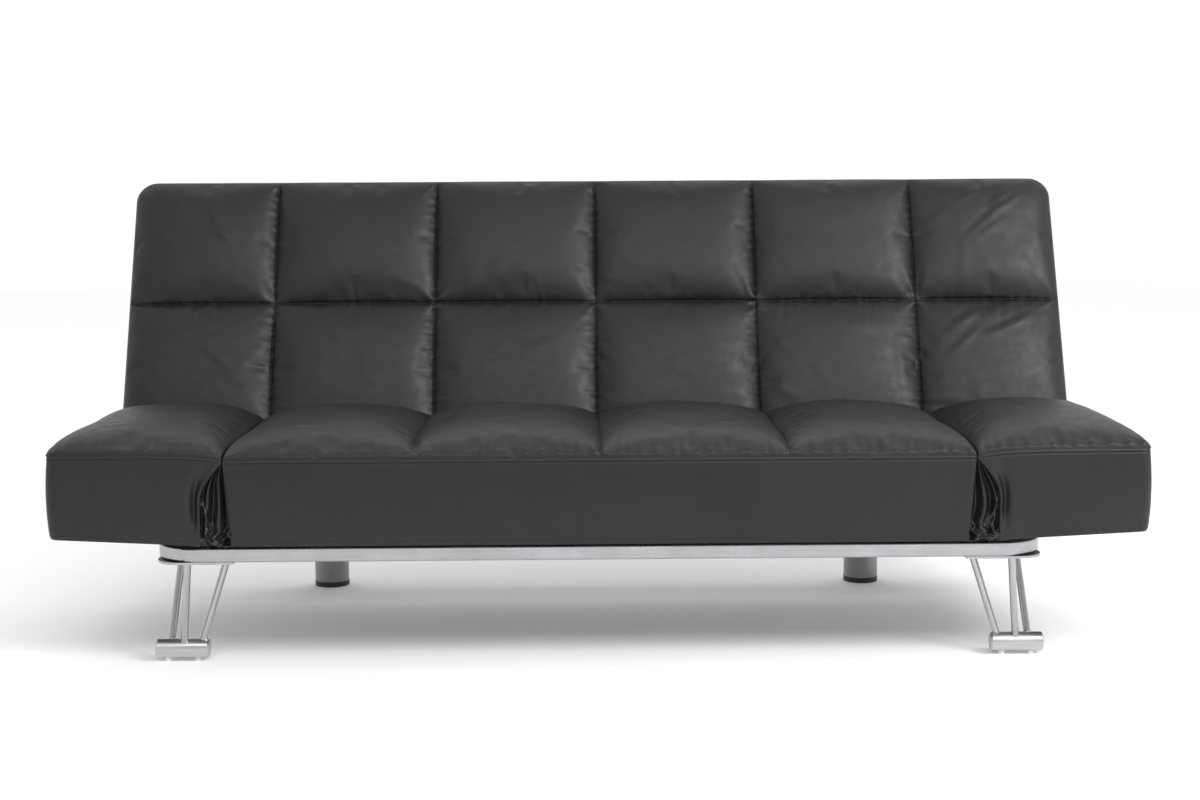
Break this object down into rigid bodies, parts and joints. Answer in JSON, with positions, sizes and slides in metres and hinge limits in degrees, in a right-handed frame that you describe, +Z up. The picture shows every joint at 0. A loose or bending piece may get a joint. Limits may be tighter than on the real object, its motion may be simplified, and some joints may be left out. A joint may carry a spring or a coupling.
{
  "type": "click-clack sofa bed",
  "caption": "Armless quilted sofa bed with fold-up side wings, a back that reclines flat and a tubular metal base.",
  "frame": {"origin": "on the floor, at the middle of the overall box", "axes": "+X along the sofa's width, to the right seen from the front; -Y to the front; +Z up"},
  "size_m": [1.8, 0.8554, 0.7834],
  "materials": {
    "leather": "satin",
    "satin_steel": "satin",
    "chrome": "polished",
    "brushed_leg": "satin",
    "glide": "satin",
    "black_plastic": "satin",
    "rubber": "matte",
    "zinc": "satin",
    "dark_steel": "satin",
    "timber": "matte",
    "foam": "matte",
    "lining": "matte"
  },
  "bodies": {
    "base": {"base_front_rail": "satin_steel", "base_rear_rail": "satin_steel", "base_side_rail_left": "satin_steel", "base_side_rail_right": "satin_steel", "base_rail_corners": "satin_steel", "base_cross_rails": "satin_steel", "front_leg_plates": "satin_steel", "front_leg_rods_left": "chrome", "front_leg_rods_right": "chrome", "front_foot_bar_left": "satin_steel", "front_foot_bar_right": "satin_steel", "foot_glides": "glide", "rear_leg_left": "brushed_leg", "rear_leg_right": "brushed_leg", "rear_leg_caps": "black_plastic", "rear_leg_plates": "satin_steel", "leg_plate_screws": "zinc", "seat_buffers": "rubber", "hinge_bracket_left": "dark_steel", "hinge_bracket_right": "dark_steel", "pivot_bolts": "zinc", "pivot_nuts": "zinc", "pawl_pins": "zinc", "pawl_springs": "zinc"},
    "pawl_left": {"pawl_left": "dark_steel"},
    "pawl_right": {"pawl_right": "dark_steel"},
    "seat": {"seat_front_rail": "timber", "seat_rear_rail": "timber", "seat_side_rail_left": "timber", "seat_side_rail_right": "timber", "seat_slats": "timber", "seat_foam": "foam", "seat_cover": "leather", "seat_dust_cover": "lining", "seat_arm_left": "dark_steel", "seat_arm_right": "dark_steel", "seat_hinge_leaves": "zinc", "wing_hinge_pins": "zinc"},
    "wing_left": {"wing_rails_left": "timber", "wing_panel_left": "timber", "wing_foam_left": "foam", "wing_cover_left": "leather", "wing_hinge_leaves_left": "zinc"},
    "wing_right": {"wing_rails_right": "timber", "wing_panel_right": "timber", "wing_foam_right": "foam", "wing_cover_right": "leather", "wing_hinge_leaves_right": "zinc"},
    "back": {"back_top_rail": "timber", "back_bottom_rails": "timber", "back_uprights": "timber", "back_slats": "timber", "back_foam": "foam", "back_cover": "leather", "back_panel": "lining", "back_arm_left": "dark_steel", "back_arm_right": "dark_steel"}
  },
  "joints": [
    {"name": "seat_lift", "type": "hinge", "parent": "base", "child": "seat", "pos_m": [0, 0.155, 0.3], "axis": [-1, 0, 0], "range_deg": [0, 20]},
    {"name": "back_recline", "type": "hinge", "parent": "base", "child": "back", "pos_m": [0, 0.155, 0.3], "axis": [-1, 0, 0], "range_deg": [0, 64.5]},
    {"name": "wing_left_fold", "type": "hinge", "parent": "seat", "child": "wing_left", "pos_m": [0.613, 0, 0.342], "axis": [0, -1, 0], "range_deg": [0, 80]},
    {"name": "wing_right_fold", "type": "hinge", "parent": "seat", "child": "wing_right", "pos_m": [-0.613, 0, 0.342], "axis": [0, 1, 0], "range_deg": [0, 80]},
    {"name": "pawl_left_release", "type": "hinge", "parent": "base", "child": "pawl_left", "pos_m": [0.568, 0.10257, 0.26329], "axis": [1, 0, 0], "range_deg": [0, 14]},
    {"name": "pawl_right_release", "type": "hinge", "parent": "base", "child": "pawl_right", "pos_m": [-0.568, 0.10257, 0.26329], "axis": [1, 0, 0], "range_deg": [0, 14]}
  ],
  "couplings": [
    {"joint": "pawl_left_release", "follows": "seat_lift", "ratio": 0.6},
    {"joint": "pawl_right_release", "follows": "seat_lift", "ratio": 0.6}
  ]
}
